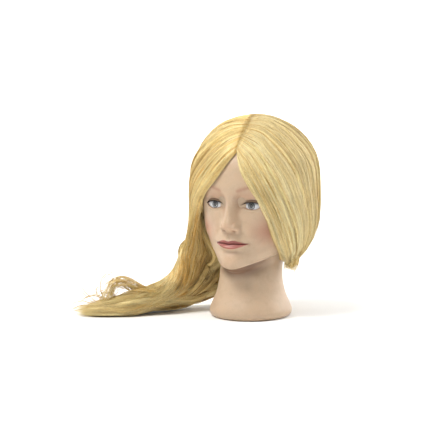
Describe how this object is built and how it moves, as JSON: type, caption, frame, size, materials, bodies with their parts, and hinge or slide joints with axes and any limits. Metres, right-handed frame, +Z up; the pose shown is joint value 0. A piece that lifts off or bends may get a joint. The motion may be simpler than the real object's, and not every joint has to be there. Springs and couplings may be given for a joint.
{
  "type": "mannequin training head",
  "caption": "Hairdresser's training head: soft moulded face, head and neck with long rooted hair parted in the centre, a foam core and a clamp socket in the neck.",
  "frame": {"origin": "centre of the whole part's footprint box, hair on the table included, on the plane it stands on; the neck axis is at X +69.5 mm, Y +5.5 mm", "axes": "+Z up along the neck; -Y is the way the face looks; +X is towards the head's own left, and the tress lies towards -X"},
  "size_m": [0.3135, 0.2502, 0.2828],
  "materials": {
    "skin_vinyl": "satin",
    "root_glue": "satin",
    "core_foam": "matte",
    "socket_plastic": "satin",
    "plate_plastic": "matte",
    "eye_lacquer": "gloss",
    "lash_fibre": "matte",
    "blond_hair": "satin"
  },
  "bodies": {
    "root": {"head_skin": "skin_vinyl", "root_glue_layer": "root_glue", "foam_core": "core_foam", "clamp_socket": "socket_plastic", "neck_base_plate": "plate_plastic", "eye_right": "eye_lacquer", "eye_left": "eye_lacquer", "lash_right": "lash_fibre", "lash_left": "lash_fibre", "hair_front_left": "blond_hair", "hair_front_right": "blond_hair", "hair_back": "blond_hair", "hair_crown": "blond_hair", "hair_tuft_left": "blond_hair", "hair_side_fall": "blond_hair", "hair_nape_sweep": "blond_hair", "hair_tress": "blond_hair", "hair_tress_end": "blond_hair"}
  },
  "joints": []
}
